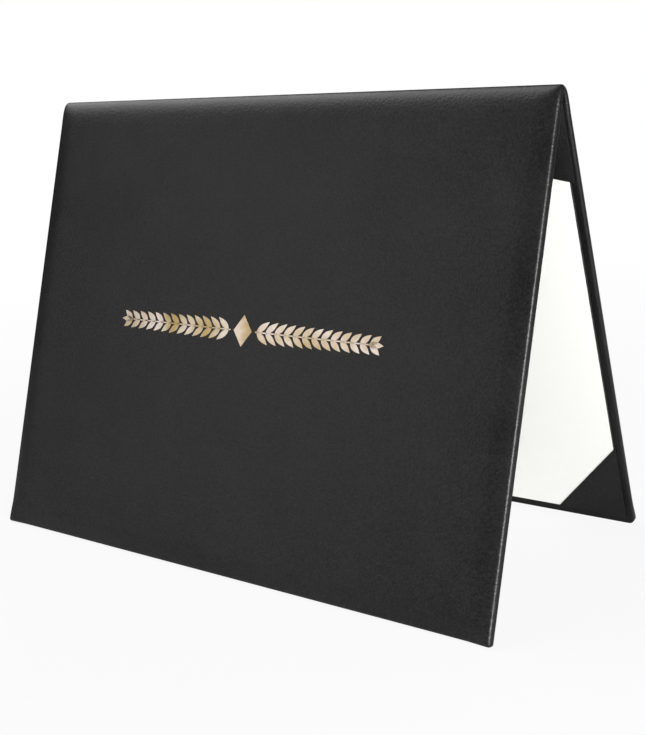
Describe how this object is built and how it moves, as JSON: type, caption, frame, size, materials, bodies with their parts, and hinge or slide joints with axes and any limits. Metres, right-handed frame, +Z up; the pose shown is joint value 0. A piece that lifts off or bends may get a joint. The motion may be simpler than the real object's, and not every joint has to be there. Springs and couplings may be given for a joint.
{
  "type": "diploma cover",
  "caption": "Padded leatherette diploma cover that stands as a tent, with a white sheet held inside the rear cover by corner pockets and the hinge strip.",
  "frame": {"origin": "centre of the bounding box, on the table under the ridge", "axes": "+X along the ridge, +Z up, the front cover faces -Y"},
  "size_m": [0.292, 0.1486, 0.2155],
  "materials": {
    "outer_leatherette": "satin",
    "thin_leatherette": "satin",
    "lining_card": "matte",
    "white_paper": "matte",
    "greyboard": "matte",
    "foam": "matte"
  },
  "bodies": {
    "front_cover": {"front_cover_leather": "outer_leatherette", "front_board": "greyboard", "front_foam_pad": "foam", "front_lining": "lining_card", "spine_leather": "outer_leatherette", "hinge_strip": "thin_leatherette"},
    "rear_cover": {"rear_cover_leather": "outer_leatherette", "rear_board": "greyboard", "rear_foam_pad": "foam", "rear_lining": "lining_card", "white_insert": "white_paper", "corner_pocket_left": "thin_leatherette", "corner_pocket_right": "thin_leatherette"}
  },
  "joints": [
    {"name": "cover_hinge", "type": "hinge", "parent": "front_cover", "child": "rear_cover", "pos_m": [0, 0, 0.2071], "axis": [1, 0, 0], "range_deg": [-37.2, 142.8], "deforming": ["spine_leather", "hinge_strip"]}
  ]
}
